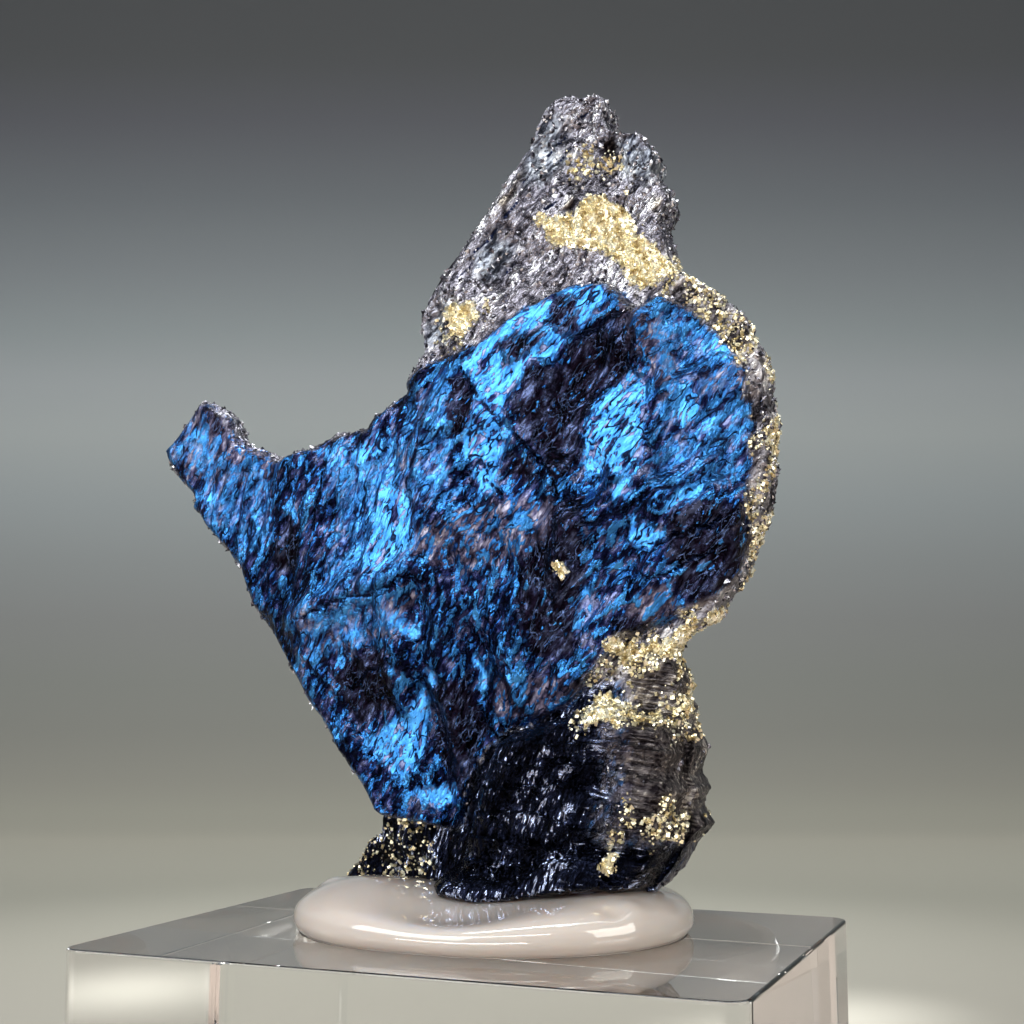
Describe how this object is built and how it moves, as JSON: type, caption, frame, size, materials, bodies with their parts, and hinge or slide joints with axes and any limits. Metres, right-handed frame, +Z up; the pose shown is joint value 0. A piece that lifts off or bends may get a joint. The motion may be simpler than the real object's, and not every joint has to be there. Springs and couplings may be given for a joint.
{
  "type": "covellite specimen",
  "caption": "Thin upright plate of iridescent blue covellite with a grey spire, a pyrite rim and a dark foot, set in putty on a clear rectangular block.",
  "frame": {"origin": "centre of the block's flat underside", "axes": "+X along the block's long side and across the plate's face, -Y the front that the blue face looks along, +Z up"},
  "size_m": [0.0383, 0.025, 0.0581],
  "materials": {
    "sulphide": "iridescent blue metallic cleavage faces",
    "putty": "smooth milky translucent putty",
    "acrylic": "polished clear acrylic"
  },
  "bodies": {
    "root": {"covellite_specimen": "sulphide", "putty_pad": "putty", "acrylic_block": "acrylic"}
  },
  "joints": []
}
